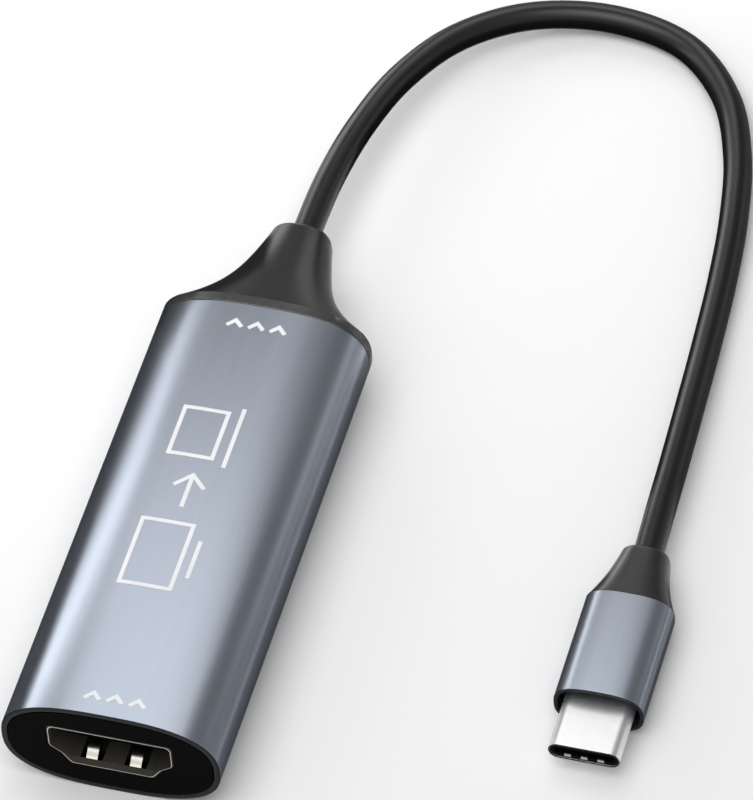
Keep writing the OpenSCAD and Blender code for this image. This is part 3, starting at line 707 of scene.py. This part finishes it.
def dress_nodes():
    """Gives every CAD node the finish of its slot in the record, and the plug's tabs one with painted shade.
    """
    for row in frame["record"]["subparts"]:
        mesh = frame["nodes"][row["node"]].data
        mesh.materials.clear()
        mesh.materials.append(materials[row["material_slot"]])
    springs = frame["nodes"]["usb_ground_springs"].data
    springs.materials[0] = materials["spring_tabs_painted_shade"]


def add_stage(name, mesh, grey):
    """Puts a matt mesh in the scene that is no part of the object."""
    mesh.materials.append(matt(name, grey))
    obj = bpy.data.objects.new(name, mesh)
    scene.collection.objects.link(obj)
    return obj


def make_floor():
    """A wide pale floor."""
    shape = bmesh.new()
    bmesh.ops.create_grid(shape, x_segments=1, y_segments=1, size=FLOOR_REACH)
    add_stage("floor", plain_mesh("floor", shape), FLOOR_COLOUR)


def make_dome():
    """A dim white sky that is brighter in front."""
    world = bpy.data.worlds.new("studio")
    scene.world = world
    world.use_nodes = True
    nodes = world.node_tree.nodes
    links = world.node_tree.links
    place = nodes.new("ShaderNodeTexCoord")
    split = nodes.new("ShaderNodeSeparateXYZ")
    spread = nodes.new("ShaderNodeMapRange")
    spread.inputs["From Min"].default_value, spread.inputs["To Min"].default_value = DOME_FRONT
    spread.inputs["From Max"].default_value, spread.inputs["To Max"].default_value = DOME_BACK
    links.new(place.outputs["Generated"], split.inputs["Vector"])
    links.new(split.outputs["Y"], spread.inputs["Value"])
    links.new(spread.outputs["Result"], nodes["Background"].inputs["Strength"])
    nodes["Background"].inputs["Color"].default_value = (1, 1, 1, 1)


def add_softbox(name, place, target, width, height, roll, radiance):
    """A flat lamp that faces its target, as bright per area as it is told."""
    lamp = bpy.data.lights.new(name, "AREA")
    lamp.shape = "RECTANGLE"
    lamp.size = width * MM
    lamp.size_y = height * MM
    lamp.energy = radiance * math.pi * width * height * MM * MM
    obj = bpy.data.objects.new(name, lamp)
    scene.collection.objects.link(obj)
    obj.location = Vector(place) * MM
    facing = (Vector(target) - Vector(place)).to_track_quat("-Z", "Y")
    obj.rotation_euler = (facing @ Quaternion((0, 0, 1), roll)).to_euler()


def add_card(name, foot, head, shade):
    """A grey card between a lower and an upper edge, which shows only in what the object mirrors."""
    shape = bmesh.new()
    lower, upper = ([shape.verts.new(Vector(point) * MM) for point in edge] for edge in (foot, head))
    for i in range(1, len(lower)):
        shape.faces.new((lower[i - 1], lower[i], upper[i], upper[i - 1]))
    card = add_stage(name, plain_mesh(name, shape), (shade, shade, shade))
    card.visible_camera = False
    card.visible_diffuse = False
    card.visible_shadow = False


def add_upright_card(name, start, end, height, shade):
    """A card that stands on the floor between two places in X and Y."""
    add_card(name, [(*start, 0), (*end, 0)], [(*start, height), (*end, height)], shade)


def add_leaning_card(name, foot_x, head_x, front, back, height, shade):
    """A card along Y whose upper edge leans out from its lower one."""
    add_card(name, [(foot_x, front, CARD_LIFT), (foot_x, back, CARD_LIFT)],
             [(head_x, front, height), (head_x, back, height)], shade)


def add_lead_card(name, path, side, shade):
    """A card that leans away from the lead, left or right of its run, and runs out at both its ends."""
    foot = []
    head = []
    last = len(path) - 1
    for i, here in enumerate(path):
        ahead = path[min(i + 1, last)] - path[max(i - 1, 0)]
        out = Vector((-ahead.y, ahead.x, 0)).normalized() * side
        low = Vector((here.x, here.y, CARD_LIFT)) + out * LEAD_D * LEAD_CARD_FOOT
        high = here + out * LEAD_D * LEAD_CARD_HEAD + Vector((0, 0, LEAD_CARD_RISE))
        grown = min(i, last - i, LEAD_CARD_GROWTH) / LEAD_CARD_GROWTH
        foot.append(low)
        head.append(low.lerp(high, LEAD_CARD_LEAST + (1 - LEAD_CARD_LEAST) * grown))
    add_card(name, foot, head, shade)


def make_box_cards():
    """Cards that draw the dark and pale bands on the sleeve and the rear boot."""
    front, back = sleeve_low.y - 10, sleeve_high.y + 8
    left, far = sleeve_low.x - 4, sleeve_high.x + 12
    add_upright_card("card_left", (left, front), (left, back), height=14.8, shade=0.09)
    add_leaning_card("card_right", sleeve_high.x - 1, sleeve_high.x + 2.2, front, sleeve_high.y + 3,
                     height=6.7, shade=0.4)
    add_upright_card("card_far", (far, front), (far, back), height=7.5, shade=0.5)
    add_upright_card("card_boot", (-16, sleeve_high.y), (-6, BOOT_END + 1), height=16, shade=0.02)
    add_upright_card("card_boot_right", (15, sleeve_high.y + 3), (6, BOOT_END + 4), height=9, shade=0.9)


def make_plug_cards():
    """Cards that draw the bands on the plug, and brighten the sides of its nose."""
    front, back = plug_low.y - 5, PLUG_BOOT_END
    left, far = plug_low.x - 2, plug_high.x + 5
    add_upright_card("card_plug_left", (left, front), (left, back), height=7, shade=0.2)
    add_leaning_card("card_plug_right", plug_high.x - 0.5, plug_high.x + 1, front, back,
                     height=3.2, shade=0.4)
    add_upright_card("card_plug_far", (far, front), (far, back), height=3.6, shade=0.4)
    front, back = usb_low.y - 1, plug_low.y
    add_leaning_card("card_nose_left", usb_low.x, usb_low.x - 3, front, back, height=5, shade=0.95)
    add_leaning_card("card_nose_right", usb_high.x, usb_high.x + 3, front, back, height=5, shade=0.95)


def make_camera():
    """A camera at the photograph's viewpoint."""
    azimuth, elevation, roll = (math.radians(angle) for angle in VIEW_ANGLES)
    right = Vector((math.cos(azimuth), math.sin(azimuth), 0))
    back = Vector((math.sin(azimuth) * math.cos(elevation), -math.cos(azimuth) * math.cos(elevation),
                   math.sin(elevation)))
    up = back.cross(right)
    across = right * math.cos(roll) + up * math.sin(roll)
    upward = up * math.cos(roll) - right * math.sin(roll)
    data = bpy.data.cameras.new("camera")
    data.sensor_fit = "AUTO"
    data.sensor_width = SENSOR_W
    data.lens = FOCAL_PX * SENSOR_W / LONG_SIDE_PX
    data.clip_start = 0.05
    data.clip_end = 20
    camera = bpy.data.objects.new("camera", data)
    scene.collection.objects.link(camera)
    turn = Matrix((across, upward, back)).transposed().to_4x4()
    camera.matrix_world = Matrix.Translation((Vector(VIEW_TARGET) + back * VIEW_DISTANCE) * MM) @ turn
    scene.camera = camera


# The object
lead_path = smooth_path([Vector((EXIT.x + x, EXIT.y + y, z)) for x, y, z in LEAD_ROUTE], LEAD_STEPS)
dress_nodes()
make_tube("oval_sleeve", "anodised_sleeve", "housing_sleeve", sleeve_oval, SLEEVE_WALL, SLEEVE_EDGE)
plug_tube = make_tube("plug_tube", "anodised_plug", "plug_sleeve", plug_oval, PLUG_WALL, PLUG_EDGE)
make_rear_boot()
make_socket()
make_print()
plug_flare = make_plug_boot()
usb_nose = make_tube("usb_nose", "plug_nickel", "usb_shell", stadium, USB_WALL, USB_LIP)
make_lead(lead_path)

# The studio
make_floor()
make_dome()
for softbox in SOFTBOXES:
    add_softbox(*softbox)
make_box_cards()
make_plug_cards()
add_lead_card("card_outer", lead_path, side=1, shade=0.3)
add_lead_card("card_inner", lead_path, side=-1, shade=0.03)
make_camera()
scene.view_settings.view_transform = "Standard"
